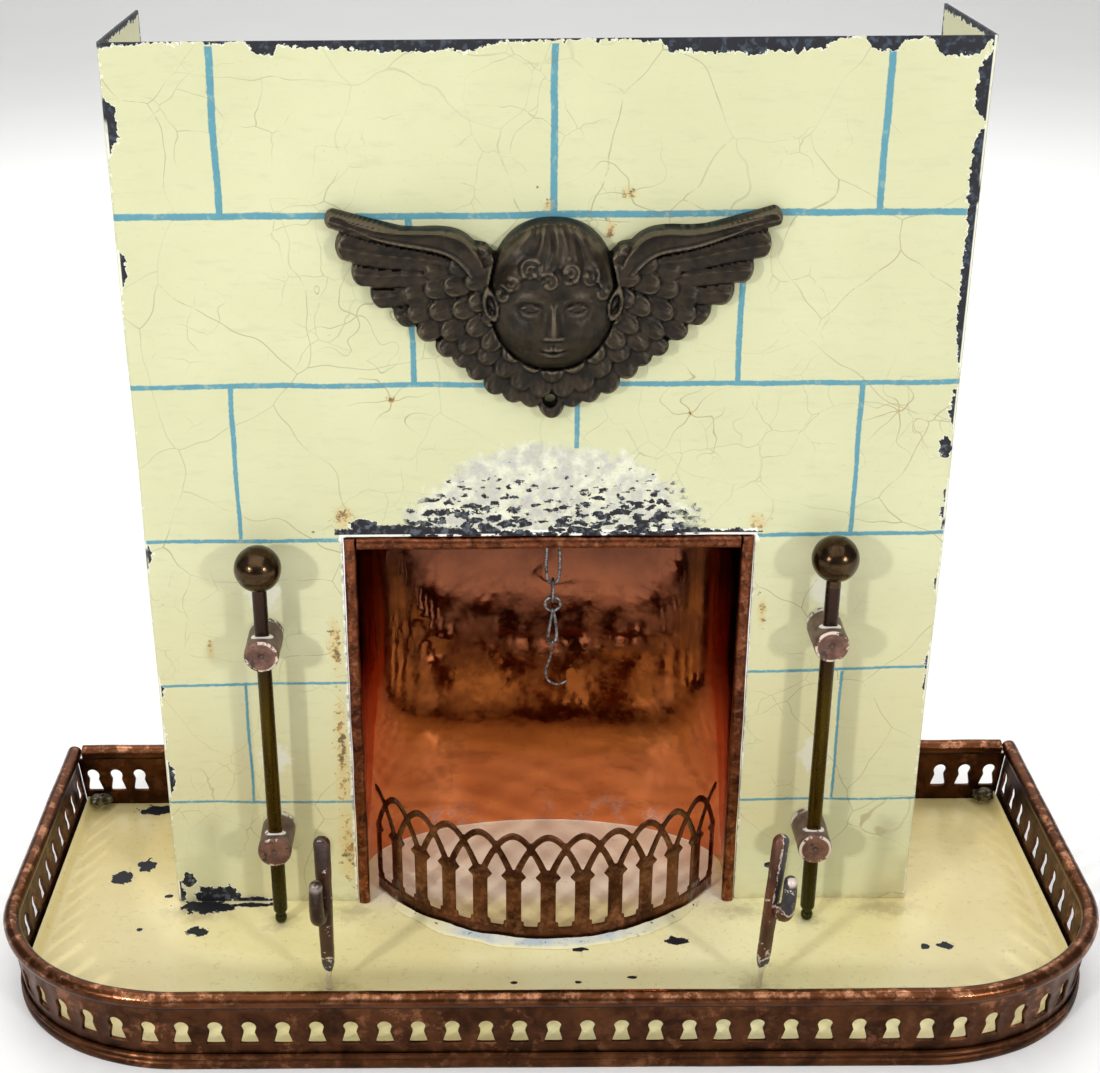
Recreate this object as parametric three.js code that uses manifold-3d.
// Miniature fireplace mantel: a painted tinplate chimney breast on a galleried hearth, with a copper
// firebox, a bowed grate, two side posts, two tool rests and a kettle chain.
// Millimetres, +Z up. The origin is on the table under the middle of the hearth; +X is to the right of
// someone facing the fireplace and +Y runs from the viewer to the back.

import * as THREE from 'three';
import { mergeVertices } from 'three/addons/utils/BufferGeometryUtils.js';
import Module from 'manifold-3d';

const wasm = await Module();
wasm.setup();

// ---------------------------------------------------------------- driving dimensions
const WIDTH = 305; // over the rims
const DEPTH = 127.4; // over the rims
const GAP = 0.3; // between pieces that are soldered or rest on each other
const SHEET = 0.8; // painted tin and copper strip

const HEARTH_Z = 4; // top of the tray
const RIM_SIZE = 4.6; // rolled rim, across and high
const RIM_BOTTOM_Z = 20.9;

const CORNER_X = 51; // half axes of the rounded front corners
const CORNER_Y = 43.5;
const HALF_WIDTH = (WIDTH - RIM_SIZE) / 2; // to the middle of the gallery strip
const HALF_DEPTH = (DEPTH - RIM_SIZE) / 2;

const WALL_WIDTH = 217.2;
const WALL_HEIGHT = 251;
const WALL_X = -1.3; // the breast stands a little left of the tray's middle
const WALL_Y = 6.8; // front face
const RETURN_DEPTH = 53.4;

const OPENING_HALF = 55.9;
const OPENING_HEIGHT = 119.7;
const TRIM_WIDTH = 3.3;

const LINING_SIDE = 15; // straight depth of the lining before it curves
const LINING_BOW = 27.5; // depth of its half-elliptical back
const LINING_SHEET = 0.6;

const GRATE_RADIUS = 60.1;
const GRATE_PITCH = 9.9;
const GRATE_BAYS = 12;
const GRATE_HEIGHT = 36.4;
const GRATE_CENTRE_Y = WALL_Y + 40.2;

const HOLE_PITCH_TARGET = 8.87; // piercings of the gallery
const HOLE_FOOT_Z = 8.1;
const HOLE_HEAD_Z = 13.9; // middle of the keyhole's round head
const FLARE = 2.2; // how much further out the strip stands at the rim than at its foot
const LAP = 6; // how far the back strips run on behind the breast's returns

const POST_Y = WALL_Y - 9.6;
const ROD_RADIUS = 2.1;
const BALL_RADIUS = 6.35;
const BOSS_RADIUS = 4.8;
const BOSS_LENGTH = 14.2;
const BOSS_LOWER_Z = 31.6;
const POSTS = [
  { label: 'left', x: -77.9, ballZ: 119, upperBossZ: 94.8 },
  { label: 'right', x: 76.1, ballZ: 120.8, upperBossZ: 96.8 },
];

const REST_Y = WALL_Y - 39.2;
const REST_TOP_Z = 54.6;
const RESTS = [
  { label: 'left', x: -61.1, lean: 0, turn: -0.35 },
  { label: 'right', x: 57.2, lean: 0.068, turn: 0.8 },
];

const CHAIN_X = 1.7;
const CHAIN_Y = WALL_Y + 10;
const WIRE = 0.45; // radius of the chain wire
const HOOK_WIRE = 0.36;
const LINK_PLAY = 0.3; // clear space where two links bear on each other

// ---------------------------------------------------------------- materials
const finish = (color, roughness, metalness) => () =>
  new THREE.MeshStandardMaterial({ color, roughness, metalness });
const creamEnamel = finish(0xe6e3ba, 0.35, 0);
const hearthEnamel = finish(0xd8cb8e, 0.3, 0);
const darkCopper = finish(0x74402a, 0.4, 1);
const brightCopper = finish(0xa8562c, 0.25, 1);
const bronze = finish(0x3d352c, 0.45, 0.8);
const brownBrass = finish(0x5d4a26, 0.35, 1);
const bossPaint = finish(0x80543f, 0.5, 0.4);
const steelWire = finish(0x9a9a98, 0.4, 1);
const solder = finish(0x8a8578, 0.45, 0.9);

const mantel = new THREE.Group();

/** Adds a named piece to the model. */
function piece(name, geometry, material, position = [0, 0, 0], parent = mantel) {
  const mesh = new THREE.Mesh(geometry, material());
  mesh.name = name;
  mesh.position.set(...position);
  parent.add(mesh);
  return mesh;
}

// ---------------------------------------------------------------- geometry helpers
/** A mesh from points and triangles, with equal points merged. */
function meshFrom(points, triangles) {
  const geometry = new THREE.BufferGeometry();
  geometry.setAttribute('position', new THREE.Float32BufferAttribute(points.flat(), 3));
  geometry.setIndex(triangles.flat());
  return mergeVertices(geometry, 1e-4);
}

function toSolid(geometry) {
  const bare = geometry.clone();
  bare.deleteAttribute('normal');
  bare.deleteAttribute('uv');
  const merged = mergeVertices(bare, 1e-4);
  return new wasm.Manifold(new wasm.Mesh({
    numProp: 3,
    vertProperties: new Float32Array(merged.attributes.position.array),
    triVerts: new Uint32Array(merged.index.array),
  }));
}

function fromSolid(solid) {
  const mesh = solid.getMesh();
  const geometry = new THREE.BufferGeometry();
  geometry.setAttribute('position', new THREE.BufferAttribute(mesh.vertProperties, 3));
  geometry.setIndex(new THREE.BufferAttribute(mesh.triVerts, 1));
  return geometry;
}

/** A box between two opposite corners. */
function boxBetween(low, high) {
  const size = high.map((value, i) => value - low[i]);
  const middle = high.map((value, i) => (value + low[i]) / 2);
  return new THREE.BoxGeometry(...size).translate(...middle);
}

/** An upright cylinder from z0 to z1. */
function uprightCylinder(radius, z0, z1, sides = 16) {
  return new THREE.CylinderGeometry(radius, radius, z1 - z0, sides)
    .rotateX(Math.PI / 2)
    .translate(0, 0, (z0 + z1) / 2);
}

/** Turned piece about Z from [radius, z] points that start and end on the axis. */
function turned(profile, sides = 24) {
  const points = profile.map(([r, z]) => new THREE.Vector2(r, z));
  return new THREE.LatheGeometry(points, sides).rotateX(Math.PI / 2);
}

/** Place on a plan curve: position and the unit normal that points away from the hearth. */
function planStation(path, t) {
  const at = path.getPoint(t);
  const tangent = path.getTangent(t);
  return { x: at.x, y: at.y, nx: tangent.y, ny: -tangent.x };
}

/** A bar of constant section along a plan curve; section points are [outward, z], anticlockwise. */
function barAlong(path, section, stations) {
  const count = section.length;
  const points = stations.flatMap((t) => {
    const s = planStation(path, t);
    return section.map(([out, z]) => [s.x + s.nx * out, s.y + s.ny * out, z]);
  });
  const triangles = [];
  for (let i = 0; i + 1 < stations.length; i += 1) {
    for (let j = 0; j < count; j += 1) {
      const a = i * count + j;
      const b = i * count + ((j + 1) % count);
      triangles.push([a, b, b + count], [a, b + count, a + count]);
    }
  }
  const outline = section.map(([out, z]) => new THREE.Vector2(out, z));
  const last = (stations.length - 1) * count;
  for (const [a, b, c] of THREE.ShapeUtils.triangulateShape(outline, [])) {
    triangles.push([a, c, b], [last + a, last + b, last + c]);
  }
  return outwards(meshFrom(points, triangles));
}

/** Turns every triangle round if the closed mesh is inside out. */
function outwards(geometry) {
  const p = geometry.attributes.position;
  const index = geometry.index.array;
  const [a, b, c] = [new THREE.Vector3(), new THREE.Vector3(), new THREE.Vector3()];
  let volume = 0;
  for (let i = 0; i < index.length; i += 3) {
    a.fromBufferAttribute(p, index[i]);
    b.fromBufferAttribute(p, index[i + 1]);
    c.fromBufferAttribute(p, index[i + 2]);
    volume += a.dot(b.cross(c));
  }
  if (volume < 0) {
    for (let i = 0; i < index.length; i += 3) {
      [index[i + 1], index[i + 2]] = [index[i + 2], index[i + 1]];
    }
  }
  return geometry;
}

/** Even steps from 0 to 1. */
const steps = (count) => Array.from({ length: count + 1 }, (_, i) => i / count);

/**
 * A pierced sheet strip. Each bay is a flat panel { outline, holes } in (u, z), with u from 0 to the
 * pitch; neighbouring bays share the vertical edges at u = 0 and u = pitch. place(s, out, z) gives
 * the plan position at length s along the strip, distance out from its middle plane and height z.
 */
function piercedStrip(bays, pitch, thickness, place) {
  const points = [];
  const triangles = [];
  const half = thickness / 2;
  bays.forEach((bay, bayIndex) => {
    const loops = [bay.outline, ...bay.holes];
    const flat = loops.flat();
    const base = points.length;
    const onSide = (point) => Math.abs(point.x) < 1e-6 || Math.abs(point.x - pitch) < 1e-6;
    for (const out of [half, -half]) {
      for (const { x, y } of flat) {
        points.push([...place(bayIndex * pitch + x, out, y), y]);
      }
    }
    const backFace = flat.length;
    for (const [a, b, c] of THREE.ShapeUtils.triangulateShape(bay.outline, bay.holes)) {
      triangles.push([base + a, base + b, base + c]);
      triangles.push([base + backFace + a, base + backFace + c, base + backFace + b]);
    }
    let start = 0;
    for (const loop of loops) {
      loop.forEach((from, i) => {
        const to = loop[(i + 1) % loop.length];
        const joint = onSide(from) && onSide(to) && Math.abs(from.x - to.x) < 1e-6;
        const atEnd = (bayIndex === 0 && from.x < 1e-6) ||
          (bayIndex === bays.length - 1 && from.x > pitch - 1e-6);
        if (joint && !atEnd) return;
        const a = base + start + i;
        const b = base + start + ((i + 1) % loop.length);
        triangles.push([a, a + backFace, b + backFace], [a, b + backFace, b]);
      });
      start += loop.length;
    }
  });
  return outwards(meshFrom(points, triangles));
}

const clockwise = (loop) => (THREE.ShapeUtils.isClockWise(loop) ? loop : loop.slice().reverse());
const anticlockwise = (loop) => (THREE.ShapeUtils.isClockWise(loop) ? loop.slice().reverse() : loop);
const v2 = (x, y) => new THREE.Vector2(x, y);

/** Round wire along a curve, with flat ends, or endless when closed. */
function wire(curve, radius, closed, count, sides = 6) {
  const frames = curve.computeFrenetFrames(count, closed);
  const rings = closed ? count : count + 1;
  const points = [];
  for (let i = 0; i < rings; i += 1) {
    const at = curve.getPointAt(i / count);
    for (let j = 0; j < sides; j += 1) {
      const turn = (j / sides) * Math.PI * 2;
      const p = at.clone()
        .addScaledVector(frames.normals[i], Math.cos(turn) * radius)
        .addScaledVector(frames.binormals[i], Math.sin(turn) * radius);
      points.push(p.toArray());
    }
  }
  const triangles = [];
  for (let i = 0; i < count; i += 1) {
    const next = ((i + 1) % rings) * sides;
    for (let j = 0; j < sides; j += 1) {
      const k = (j + 1) % sides;
      triangles.push([i * sides + j, next + j, next + k], [i * sides + j, next + k, i * sides + k]);
    }
  }
  if (!closed) {
    const last = count * sides;
    for (let j = 1; j + 1 < sides; j += 1) {
      triangles.push([0, j, j + 1], [last, last + j + 1, last + j]);
    }
  }
  return outwards(meshFrom(points, triangles));
}

const curveThrough = (points, closed = false) =>
  new THREE.CatmullRomCurve3(points.map((p) => new THREE.Vector3(...p)), closed, 'centripetal');

// ---------------------------------------------------------------- hearth plan
/** The D-shaped plan of the gallery, from the back left corner round the front. */
function hearthPlan() {
  const [x, y] = [HALF_WIDTH, HALF_DEPTH];
  const [rx, ry] = [CORNER_X, CORNER_Y];
  const plan = new THREE.Path();
  plan.moveTo(-x, y);
  plan.lineTo(-x, -y + ry);
  plan.absellipse(-x + rx, -y + ry, rx, ry, Math.PI, 1.5 * Math.PI, false, 0);
  plan.lineTo(x - rx, -y);
  plan.absellipse(x - rx, -y + ry, rx, ry, 1.5 * Math.PI, 2 * Math.PI, false, 0);
  plan.lineTo(x, y);
  return plan;
}

/** Number of piercings along the front strip. */
const FRONT_BAYS = Math.round(hearthPlan().getLength() / HOLE_PITCH_TARGET);

/** Stations at every half bay of the front strip, less those inside its straight stretches. */
function hearthStations(plan) {
  const all = steps(2 * FRONT_BAYS);
  const heading = all.map((t) => plan.getTangent(t).angle());
  const bends = (i) => Math.abs(heading[i] - heading[i - 1]) > 1e-4;
  const last = all.length - 1;
  return all.filter((t, i) => i === 0 || i === last || bends(i) || bends(i + 1));
}

function hearthTray() {
  const backEdge = SHEET / 2 + GAP;
  const edge = backEdge + FLARE;
  const lipWidth = 3;
  const lipRise = 2.8;
  const thickness = 0.6;
  const gallery = hearthPlan();
  const loopAt = (inset, rise) => hearthStations(gallery).map((t, i, all) => {
    const { x, y, nx, ny } = planStation(gallery, t);
    const atBack = i === 0 || i === all.length - 1;
    const z = HEARTH_Z + (atBack ? 0 : rise);
    return [x - nx * inset, atBack ? HALF_DEPTH - backEdge : y - ny * inset, z];
  });
  const inner = loopAt(edge + lipWidth, 0);
  const outer = loopAt(edge, lipRise);
  const count = inner.length;
  const lower = (loop) => loop.map(([x, y, z]) => [x, y, z - thickness]);
  const points = [...inner, ...outer, ...lower(inner), ...lower(outer)];
  const triangles = [];
  for (let i = 0; i + 1 < count; i += 1) {
    triangles.push([i, i + count, i + 1 + count], [i, i + 1 + count, i + 1]);
    const a = i + 2 * count;
    triangles.push([a, a + 1 + count, a + count], [a, a + 1, a + 1 + count]);
    triangles.push([i + count, a + count, a + 1 + count], [i + count, a + 1 + count, i + 1 + count]);
  }
  const plan = inner.map(([x, y]) => v2(x, y));
  for (const [a, b, c] of THREE.ShapeUtils.triangulateShape(plan, [])) {
    triangles.push([a, b, c], [a + 2 * count, c + 2 * count, b + 2 * count]);
  }
  const backLoop = [count, 0, count - 1, 2 * count - 1];
  for (let i = 0; i + 1 < backLoop.length; i += 1) {
    const [a, b] = [backLoop[i], backLoop[i + 1]];
    triangles.push([a, b, b + 2 * count], [a, b + 2 * count, a + 2 * count]);
  }
  return outwards(meshFrom(points, triangles));
}

// ---------------------------------------------------------------- gallery
/** How far the front strip stands out at a height, from its plan line. */
const flareAt = (z) => -FLARE * (1 - z / RIM_BOTTOM_Z);

/** One gallery bay: a keyhole with a round head and a flared foot. */
function galleryBay(pitch, pierced, raise = 0) {
  const bottom = GAP;
  const top = RIM_BOTTOM_Z - GAP;
  const outline = [
    v2(0, bottom), v2(pitch / 2, bottom), v2(pitch, bottom),
    v2(pitch, top), v2(pitch / 2, top), v2(0, top),
  ];
  if (!pierced) return { outline, holes: [] };
  const footZ = HOLE_FOOT_Z + raise;
  const headZ = HOLE_HEAD_Z + raise;
  const head = 2;
  const right = [v2(2.35, footZ), v2(1.7, footZ + 3), v2(1.55, headZ - 1.3)];
  const arc = [-0.35, 0.4].map((t) => {
    const turn = (t * Math.PI) / 2;
    return v2(Math.cos(turn) * head, headZ + Math.sin(turn) * head);
  });
  const side = [...right, ...arc];
  const mirrored = side.map(({ x, y }) => v2(-x, y)).reverse();
  const hole = [...side, v2(0, headZ + head), ...mirrored].map(({ x, y }) => v2(x + pitch / 2, y));
  return { outline, holes: [clockwise(hole)] };
}

function galleryFront() {
  const plan = hearthPlan();
  const length = plan.getLength();
  const pitch = length / FRONT_BAYS;
  const place = (s, out, z) => {
    const at = planStation(plan, Math.min(1, Math.max(0, s / length)));
    const reach = out + flareAt(z);
    return [at.x + at.nx * reach, at.y + at.ny * reach];
  };
  return piercedStrip(Array(FRONT_BAYS).fill(galleryBay(pitch, true)), pitch, SHEET, place);
}

/** Back strip from the corner to just behind the breast's return; side is -1 left, +1 right. */
function galleryBack(side) {
  const outer = HALF_WIDTH - SHEET / 2 - GAP;
  const inner = WALL_WIDTH / 2 + side * WALL_X - LAP;
  const span = outer - inner;
  const bays = 6;
  const pitch = span / bays;
  const panels = Array.from({ length: bays }, (_, i) => galleryBay(pitch, i < 3, 0.8));
  const place = (s, out, z) => [side * (outer - s + flareAt(z) * (1 - s / span)), HALF_DEPTH - out];
  return piercedStrip(panels, pitch, SHEET, place);
}

/** Rolled rim: a round-topped section that sits over the strip. */
function rimSection() {
  const half = RIM_SIZE / 2;
  const round = steps(7).map((t) => {
    const turn = -0.15 * Math.PI + t * 1.3 * Math.PI;
    return [Math.cos(turn) * half, RIM_BOTTOM_Z + half + Math.sin(turn) * half];
  });
  return [[half * 0.55, RIM_BOTTOM_Z], ...round, [-half * 0.55, RIM_BOTTOM_Z]];
}

/** Ridged foot moulding on the outside of the strip. */
function baseSection() {
  const inner = SHEET / 2 + GAP;
  const section = [[inner, 0], [1.9, 0], [1.9, 2.2], [1.3, 3], [1.6, 3.6], [1.3, 4.3], [inner, 4.6]];
  return section.map(([out, z]) => [out + flareAt(z), z]);
}

function gallery() {
  const plan = hearthPlan();
  const stations = hearthStations(plan);
  piece('gallery_front', galleryFront(), darkCopper);
  piece('base_moulding', barAlong(plan, baseSection(), stations), darkCopper);
  piece('rim_front', barAlong(plan, rimSection(), stations), darkCopper);
  for (const [side, label] of [[-1, 'left'], [1, 'right']]) {
    piece(`gallery_back_${label}`, galleryBack(side), darkCopper);
    const outer = HALF_WIDTH - RIM_SIZE / 2 - GAP;
    const inner = WALL_WIDTH / 2 + side * WALL_X + GAP;
    const line = new THREE.Path([v2(side * outer, 0), v2(side * inner, 0)]);
    const rim = barAlong(line, rimSection(), [0, 1]);
    piece(`rim_back_${label}`, rim, darkCopper, [0, HALF_DEPTH, 0]);
    const blob = new THREE.SphereGeometry(1, 12, 8).scale(4.2, 2.2, 2.4);
    const place = [side * (HALF_WIDTH - 7.5), HALF_DEPTH - SHEET - 2.8, HEARTH_Z + 3.4];
    piece(`corner_solder_${label}`, blob, solder, place);
  }
}

// ---------------------------------------------------------------- chimney breast
function chimneyBreast() {
  const base = HEARTH_Z + GAP;
  const top = HEARTH_Z + WALL_HEIGHT;
  const half = WALL_WIDTH / 2;
  const shape = new THREE.Shape([
    v2(-half, 0), v2(half, 0), v2(half, RETURN_DEPTH), v2(half - SHEET, RETURN_DEPTH),
    v2(half - SHEET, SHEET), v2(-half + SHEET, SHEET), v2(-half + SHEET, RETURN_DEPTH),
    v2(-half, RETURN_DEPTH),
  ]);
  const sheet = new THREE.ExtrudeGeometry(shape, { depth: top - base, bevelEnabled: false })
    .translate(WALL_X, WALL_Y, base);
  const opening = boxBetween(
    [-OPENING_HALF, WALL_Y - 5, 0],
    [OPENING_HALF, WALL_Y + 5, HEARTH_Z + OPENING_HEIGHT],
  );
  return fromSolid(toSolid(sheet).subtract(toSolid(opening)));
}

/** Plan of the lining: straight sides and a half-elliptical back. */
function liningPlan(inset) {
  const half = OPENING_HALF - 0.5 - inset;
  const front = WALL_Y + SHEET + GAP;
  const plan = new THREE.Path();
  plan.moveTo(half, front);
  plan.lineTo(half, front + LINING_SIDE);
  plan.absellipse(0, front + LINING_SIDE, half, LINING_BOW - inset, 0, Math.PI, false, 0);
  plan.lineTo(-half, front);
  return plan;
}

function firebox() {
  const lining = liningPlan(LINING_SHEET / 2);
  const lengths = lining.getCurveLengths();
  const total = lengths[2];
  const bend = steps(26).map((t) => (lengths[0] + (lengths[1] - lengths[0]) * t) / total);
  const top = HEARTH_Z + OPENING_HEIGHT - GAP;
  const section = [
    [-LINING_SHEET / 2, HEARTH_Z + GAP], [LINING_SHEET / 2, HEARTH_Z + GAP],
    [LINING_SHEET / 2, top], [-LINING_SHEET / 2, top],
  ];
  piece('firebox_lining', barAlong(lining, section, [0, ...bend, 1]), brightCopper);

  const plate = new THREE.Shape(liningPlan(0).getPoints(14));
  const ceiling = new THREE.ExtrudeGeometry(plate, { depth: LINING_SHEET, bevelEnabled: false });
  piece('firebox_ceiling', ceiling, brightCopper, [0, 0, top + GAP]);
}

/** Half-round copper beads round the opening; the top one runs between the two upright ones. */
function openingTrims() {
  const proud = 1.2;
  const width = TRIM_WIDTH;
  const crown = steps(6).map((t) => {
    const turn = Math.PI * t;
    return v2(width / 2 - Math.cos(turn) * (width / 2), -Math.sin(turn) * proud);
  });
  const section = new THREE.Shape([v2(0, SHEET), ...crown, v2(width, SHEET)]);
  const bottom = HEARTH_Z + GAP;
  const top = HEARTH_Z + OPENING_HEIGHT - GAP;
  const left = -OPENING_HALF + GAP;
  const upright = new THREE.ExtrudeGeometry(section, { depth: top - bottom, bevelEnabled: false });
  piece('opening_trim_left', upright, darkCopper, [left, WALL_Y, bottom]);
  piece('opening_trim_right', upright.clone(), darkCopper, [-left - width, WALL_Y, bottom]);
  const span = 2 * (-left - width - GAP);
  const lintel = new THREE.ExtrudeGeometry(section, { depth: span, bevelEnabled: false })
    .rotateY(Math.PI / 2);
  piece('opening_trim_top', lintel, darkCopper, [-span / 2, WALL_Y, top]);
}

// ---------------------------------------------------------------- grate
/** One bay of the arcade, from pilaster middle to pilaster middle. */
function grateBay() {
  const p = GRATE_PITCH;
  const railTop = 4.8;
  const spring = 23.4; // top of the capitals, where the arches spring
  const band = 2.1; // width of an arch's band
  const reach = p - band; // where the inner edge of an arch lands, from its crown
  const rise = GRATE_HEIGHT - spring;
  const outerEdge = (u) => spring + rise * (1 - (u / p) ** 1.9);
  const innerEdge = (u) => spring + (rise - band) * (1 - (u / reach) ** 1.9);

  let near = p / 2;
  let far = p;
  for (let i = 0; i < 30; i += 1) {
    const middle = (near + far) / 2;
    if (innerEdge(p - middle) < outerEdge(middle)) near = middle;
    else far = middle;
  }
  const cross = near; // where one arch passes behind the next

  const notch = steps(3).map((t) => v2(p - (p / 2) * t, outerEdge((p / 2) * t)));
  const diamond = [
    ...steps(3).map((t) => v2(p - (p - cross) * t, outerEdge(p - (p - cross) * t))),
    ...steps(2).slice(1).map((t) => v2(cross + (p - cross) * t, innerEdge((p - cross) * (1 - t)))),
  ];
  const rightSide = [v2(p, 0), ...diamond, ...notch];
  const leftSide = rightSide.map(({ x, y }) => v2(p - x, y)).reverse();
  const outline = [v2(p / 2, 0), ...rightSide, ...leftSide.slice(1)];

  const arch = steps(4).slice(1).map((t) => {
    const u = reach + (p / 2 - reach) * t;
    return v2(u, innerEdge(u));
  });
  const halfLancet = [
    v2(p - 3, railTop), v2(p - 3, 6.3), v2(p - 2.2, 6.9), v2(p - 2.2, 19.6),
    v2(p - 3.6, 21.2), v2(p - 3.6, 22.4), v2(reach, spring), ...arch,
  ];
  const mirror = halfLancet.slice(0, -1).map(({ x, y }) => v2(p - x, y)).reverse();
  return { outline: anticlockwise(outline), holes: [clockwise([...halfLancet, ...mirror])] };
}

function grate() {
  const halfAngle = (GRATE_BAYS * GRATE_PITCH) / GRATE_RADIUS / 2;
  const place = (s, out) => {
    const angle = s / GRATE_RADIUS - halfAngle;
    const r = GRATE_RADIUS + out;
    return [r * Math.sin(angle), GRATE_CENTRE_Y - r * Math.cos(angle)];
  };
  const bays = Array(GRATE_BAYS).fill(grateBay());
  const band = piercedStrip(bays, GRATE_PITCH, SHEET, place);
  piece('grate', band, darkCopper, [0, 0, HEARTH_Z + GAP]);

  const curbAngle = 0.8;
  const arc = new THREE.Path();
  arc.absarc(0, GRATE_CENTRE_Y, GRATE_RADIUS, 1.5 * Math.PI - curbAngle, 1.5 * Math.PI + curbAngle, false);
  const inner = SHEET / 2 + GAP;
  const section = [[inner, 0], [4.2, 0], [3.2, 0.7], [1.8, 1.5], [inner, 2]];
  const curb = barAlong(arc, section, steps(24));
  piece('grate_curb', curb, hearthEnamel, [0, 0, HEARTH_Z + GAP]);
}

// ---------------------------------------------------------------- ornament
/** Outline of the winged head seen from the front, about the head's middle. */
function ornamentOutline() {
  const shape = new THREE.Shape();
  shape.moveTo(0, 20);
  shape.splineThru([v2(12, 18), v2(18.2, 9.5)]);
  shape.splineThru([v2(22, 16.8), v2(28.9, 18.9), v2(42, 19.2), v2(54.6, 23.6)]);
  shape.splineThru([v2(56.4, 21.5), v2(53, 13), v2(44.5, 0.5), v2(36, -5)]);
  shape.splineThru([v2(29, -15), v2(18, -23), v2(6, -28.6), v2(0, -31.6)]);
  const right = shape.getPoints(4);
  const left = right.slice(1, -1).map(({ x, y }) => v2(-x, y)).reverse();
  return [...right, ...left];
}

function ornament() {
  const back = WALL_Y - GAP;
  const middle = [0.5, 0, HEARTH_Z + 186.5];
  const plate = new THREE.ExtrudeGeometry(new THREE.Shape(ornamentOutline()), {
    depth: 2.6, bevelEnabled: false,
  }).rotateX(Math.PI / 2).translate(0, back, 0);
  const head = new THREE.SphereGeometry(1, 18, 12).scale(15.6, 13, 19.5).translate(0, back, 1);
  const behind = boxBetween([-40, back, -40], [40, back + 20, 40]);
  const hole = uprightCylinder(1.4, -10, 10, 16).rotateX(Math.PI / 2).translate(-0.4, back, -26.6);
  const solid = toSolid(plate).add(toSolid(head)).subtract(toSolid(behind)).subtract(toSolid(hole));
  piece('ornament', fromSolid(solid), bronze, middle);
}

// ---------------------------------------------------------------- side posts
function postBall() {
  const bore = uprightCylinder(1.5, -BALL_RADIUS - 1, -2, 12);
  const ball = new THREE.SphereGeometry(BALL_RADIUS, 20, 12).rotateX(Math.PI / 2);
  return fromSolid(toSolid(ball).subtract(toSolid(bore)));
}

/** Rod with a spigot for the ball at the top and a turned ball foot. */
function postRod(ballZ) {
  const foot = HEARTH_Z + GAP;
  const shoulder = ballZ - BALL_RADIUS - GAP;
  return turned([
    [0, foot], [0.9, foot], [1.7, foot + 1], [1.8, foot + 2], [1.3, foot + 3.2],
    [1.3, foot + 3.6], [ROD_RADIUS, foot + 4.4], [ROD_RADIUS, shoulder],
    [1.2, shoulder], [1.2, shoulder + 3.6], [0, shoulder + 3.6],
  ], 16);
}

/** Cylindrical boss standing out from the wall, drilled for the rod, with a dimpled front face. */
function postBoss() {
  const front = WALL_Y - GAP - BOSS_LENGTH - POST_Y;
  const body = turned([
    [0, 0.5], [0.9, 0], [BOSS_RADIUS - 0.5, 0], [BOSS_RADIUS, 0.5], [BOSS_RADIUS, 2.6],
    [BOSS_RADIUS - 0.25, 3.1], [BOSS_RADIUS, 3.6], [BOSS_RADIUS, BOSS_LENGTH], [0, BOSS_LENGTH],
  ], 20).rotateX(-Math.PI / 2).translate(0, front, 0);
  const bore = uprightCylinder(ROD_RADIUS + GAP, -9, 9);
  return fromSolid(toSolid(body).subtract(toSolid(bore)));
}

function sidePosts() {
  for (const { label, x, ballZ, upperBossZ } of POSTS) {
    piece(`post_rod_${label}`, postRod(ballZ), brownBrass, [x, POST_Y, 0]);
    piece(`post_ball_${label}`, postBall(), brownBrass, [x, POST_Y, ballZ]);
    const boss = postBoss();
    piece(`post_boss_upper_${label}`, boss, bossPaint, [x, POST_Y, upperBossZ]);
    piece(`post_boss_lower_${label}`, boss.clone(), bossPaint, [x, POST_Y, BOSS_LOWER_Z]);
  }
}

// ---------------------------------------------------------------- tool rests
/** Upright bar, flat at the back and crowned in front, on a thin foot. */
function restBar() {
  const bottom = 12;
  const outline = new THREE.Shape();
  outline.moveTo(-1.8, bottom);
  outline.lineTo(1.8, bottom);
  outline.lineTo(2.3, REST_TOP_Z - 2.3);
  outline.absarc(0, REST_TOP_Z - 2.3, 2.3, 0, Math.PI, false);
  outline.closePath();
  const bar = new THREE.ExtrudeGeometry(outline, {
    depth: 2, bevelEnabled: true, bevelThickness: 0.6, bevelSize: 0.6, bevelOffset: -0.6,
    bevelSegments: 2, curveSegments: 6,
  }).rotateX(Math.PI / 2);
  const foot = boxBetween([-1.1, -1.1, HEARTH_Z + GAP], [1.1, -0.2, bottom + 1]);
  return fromSolid(toSolid(bar).add(toSolid(foot)));
}

function restHook() {
  const curve = curveThrough([
    [0, -4.1, 31.2], [0, -4.9, 30.4], [0, -5.9, 31], [0, -6.3, 32.8], [0, -6.3, 37], [0, -5.9, 42],
  ]);
  return wire(curve, 1.65, false, 10, 10);
}

function toolRests() {
  for (const { label, x, lean, turn } of RESTS) {
    const rest = new THREE.Group();
    rest.position.set(x, REST_Y, 0);
    rest.rotation.y = lean;
    mantel.add(rest);
    const bar = piece(`tool_rest_${label}`, restBar(), darkCopper, [0, 0, 0], rest);
    const hook = piece(`tool_rest_hook_${label}`, restHook(), darkCopper, [0, 0, 0], rest);
    bar.rotation.z = turn * 0.6;
    hook.rotation.z = turn;
  }
}

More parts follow.
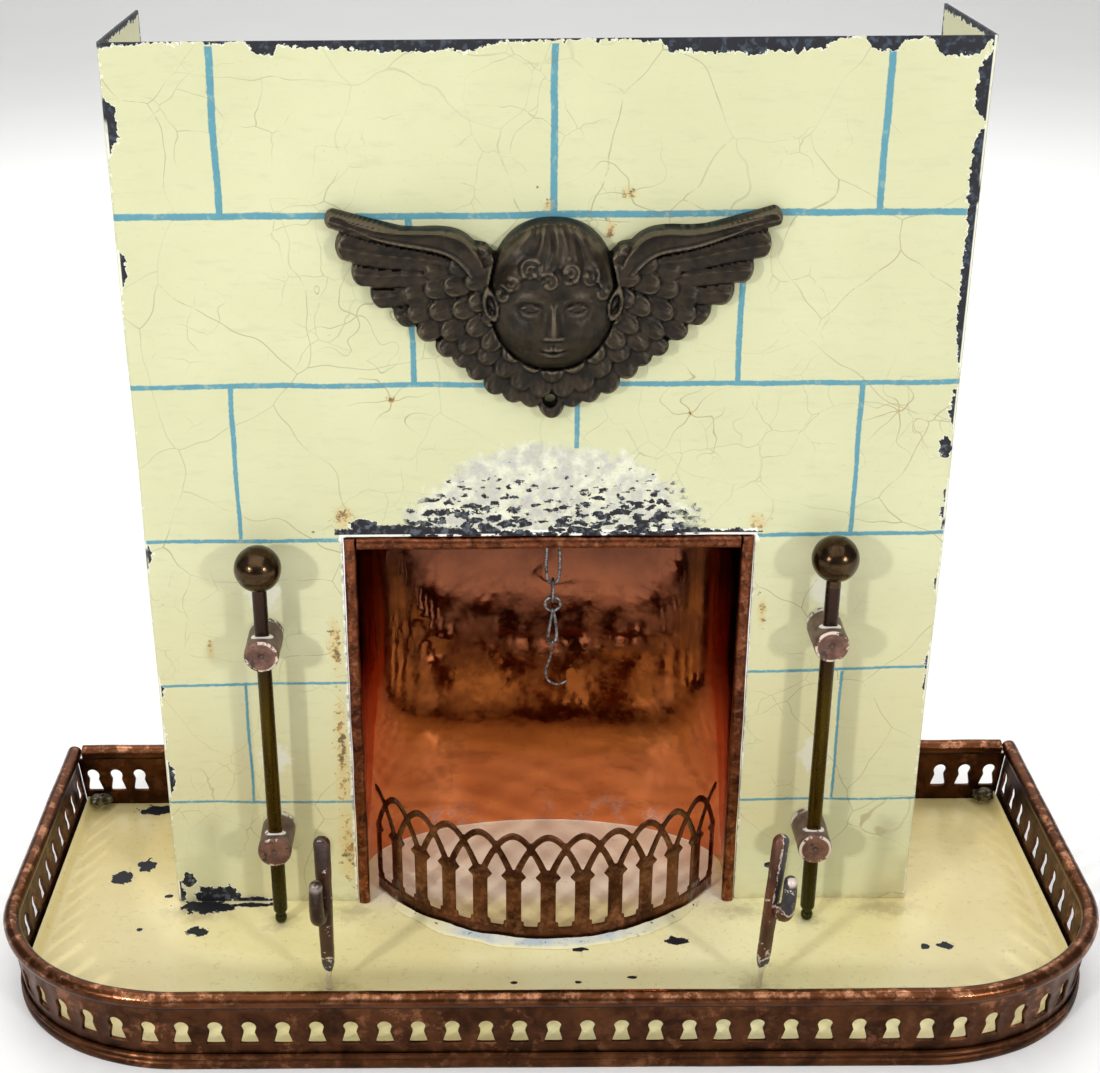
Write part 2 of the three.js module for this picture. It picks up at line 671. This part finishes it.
// ---------------------------------------------------------------- kettle chain
/** A closed link between two wire centres, wide below, turned about Z as it goes down. */
function twistedLink(top, bottom, topWidth, bottomWidth, topTurn, bottomTurn, radius) {
  const middle = (top + bottom) / 2;
  const half = (top - bottom) / 2;
  const at = (turn) => {
    const down = (1 - Math.sin(turn)) / 2;
    const width = topWidth + (bottomWidth - topWidth) * down;
    const twist = topTurn + (bottomTurn - topTurn) * down;
    const across = Math.sign(Math.cos(turn)) * Math.sqrt(Math.abs(Math.cos(turn))) * (width / 2);
    return [across * Math.cos(twist), across * Math.sin(twist), middle + half * Math.sin(turn)];
  };
  const ring = Array.from({ length: 16 }, (_, i) => at((i / 16) * Math.PI * 2));
  return wire(curveThrough(ring, true), radius, true, 22);
}

function kettleChain() {
  const ceiling = HEARTH_Z + OPENING_HEIGHT - 2 * GAP;
  const place = [CHAIN_X, CHAIN_Y, 0];
  const bear = 2 * WIRE + LINK_PLAY; // from one wire's centre to the next where links bear
  const stapleZ = 118.4;
  const upperBottomZ = 104.6;
  const middleBottomZ = 99.1;
  const ringRadius = 2.15;
  const ringTopZ = middleBottomZ + bear;
  const lowerTopZ = ringTopZ - 2 * ringRadius + bear;
  const lowerBottomZ = 85.6;
  const quarter = Math.PI / 2;

  const staple = curveThrough([
    [0, -1.7, ceiling], [0, -1.7, stapleZ + 2], [0, -1.1, stapleZ + 0.4], [0, 0, stapleZ],
    [0, 1.1, stapleZ + 0.4], [0, 1.7, stapleZ + 2], [0, 1.7, ceiling],
  ]);
  piece('chain_staple', wire(staple, WIRE, false, 14), steelWire, place);
  const upper = twistedLink(stapleZ + bear, upperBottomZ, 3.4, 4.2, 0, 0, WIRE);
  piece('chain_link_upper', upper, steelWire, place);
  const middle = twistedLink(upperBottomZ + bear, middleBottomZ, 3, 3, quarter, quarter, WIRE);
  piece('chain_link_middle', middle, steelWire, place);
  const ring = new THREE.TorusGeometry(ringRadius, WIRE, 6, 18).rotateX(quarter);
  piece('chain_ring', ring, steelWire, [CHAIN_X, CHAIN_Y, ringTopZ - ringRadius]);
  const lower = twistedLink(lowerTopZ, lowerBottomZ, 3, 3.2, quarter, 0.3, WIRE);
  piece('chain_link_lower', lower, steelWire, place);

  const eyeZ = lowerBottomZ + WIRE + HOOK_WIRE + LINK_PLAY;
  const hook = curveThrough([
    [0, 1.0, eyeZ - 2.2], [0, 1.35, eyeZ - 1.2], [0, 0.8, eyeZ - 0.15], [0, -0.3, eyeZ],
    [0, -1.2, eyeZ - 0.8], [-0.1, -0.9, eyeZ - 2.6], [-0.4, 0, eyeZ - 4.6], [-1.1, 0, eyeZ - 7.4],
    [-1.9, 0, eyeZ - 10.2], [-1.5, 0, eyeZ - 12.6], [0.2, 0, eyeZ - 14.2], [2.2, 0, eyeZ - 14.4],
    [4.4, 0, eyeZ - 13.2],
  ]);
  piece('kettle_hook', wire(hook, HOOK_WIRE, false, 34), steelWire, place);
}

// ---------------------------------------------------------------- assembly
piece('hearth_tray', hearthTray(), hearthEnamel);
piece('chimney_breast', chimneyBreast(), creamEnamel);
firebox();
openingTrims();
grate();
gallery();
ornament();
sidePosts();
toolRests();
kettleChain();

export default mantel;
